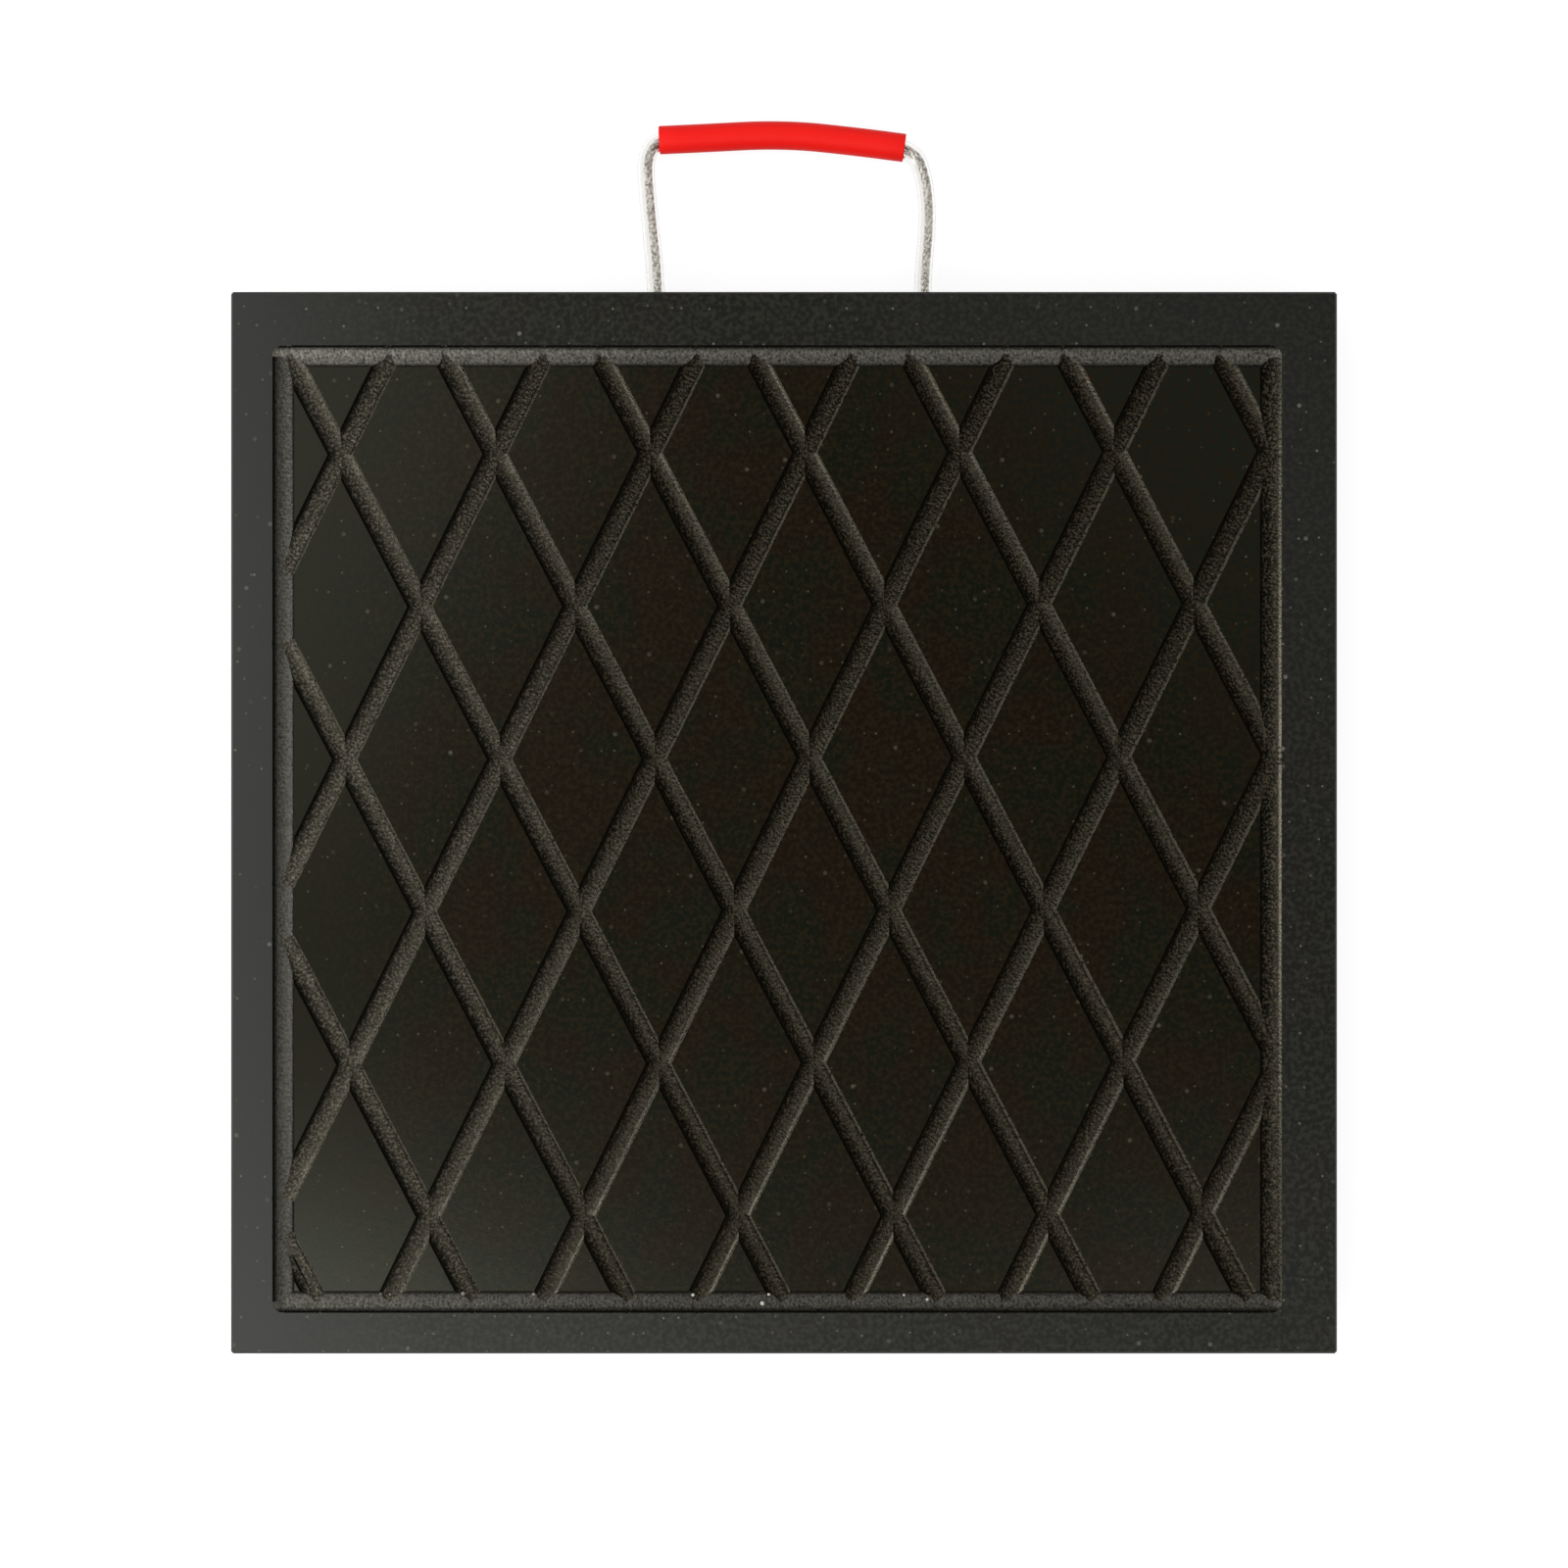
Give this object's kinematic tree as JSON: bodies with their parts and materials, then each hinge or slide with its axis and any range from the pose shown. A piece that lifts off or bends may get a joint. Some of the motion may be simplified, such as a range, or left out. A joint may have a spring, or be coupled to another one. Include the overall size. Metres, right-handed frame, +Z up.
{
  "type": "outrigger pad",
  "caption": "Thick rectangular plastic outrigger pad with a milled diamond groove pattern inside a frame groove, and a wire rope carrying handle with a soft grip.",
  "frame": {"origin": "centre of the pad's flat underside", "axes": "+Z up through the load face, +Y towards the carrying handle, +X to the right as seen from above with the handle at the far edge"},
  "size_m": [0.5, 0.5668, 0.04],
  "materials": {
    "black_polyethylene": "planed and milled",
    "galvanised_steel": "stranded",
    "clear_pvc": "extruded, clear",
    "red_pvc": "extruded, satin"
  },
  "bodies": {
    "root": {"pad_plate": "black_polyethylene", "wire_rope": "galvanised_steel", "rope_sheath": "clear_pvc", "grip_sleeve": "red_pvc"}
  },
  "joints": []
}
